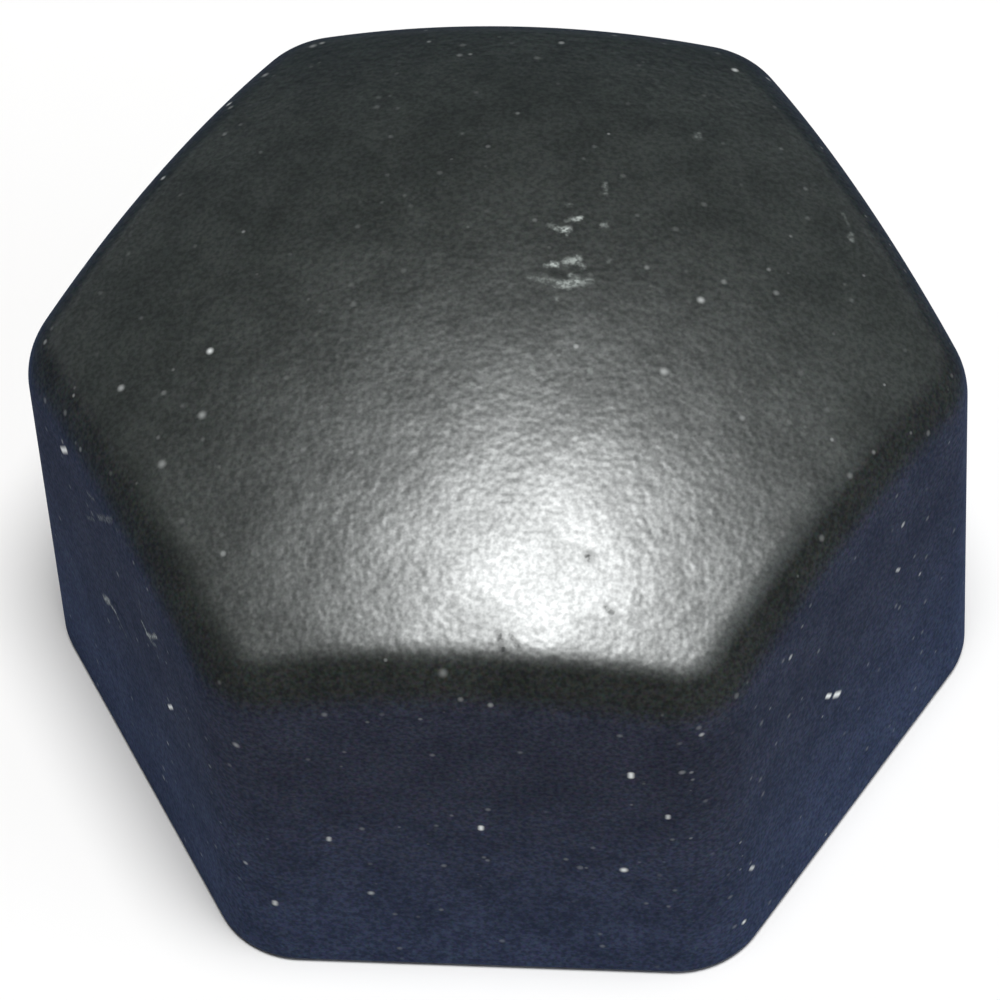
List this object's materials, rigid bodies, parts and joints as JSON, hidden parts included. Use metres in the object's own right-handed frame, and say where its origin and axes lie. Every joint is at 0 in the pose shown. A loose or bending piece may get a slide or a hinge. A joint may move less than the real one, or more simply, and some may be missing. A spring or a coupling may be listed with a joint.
{
  "type": "wheel nut cover cap",
  "caption": "Hexagonal push-on cover cap for a wheel nut, a thin black moulded shell with a domed top, rounded edges and an open hexagonal socket below.",
  "frame": {"origin": "centre of the bottom rim, on the axis of the socket", "axes": "+Z along the axis from the rim to the top of the dome, one flat towards -Y, two upright edges on the X axis"},
  "size_m": [0.0246, 0.022, 0.0156],
  "materials": {
    "cap": "black moulded plastic with a fine spark-eroded grain"
  },
  "bodies": {
    "root": {"cap": "cap"}
  },
  "joints": []
}
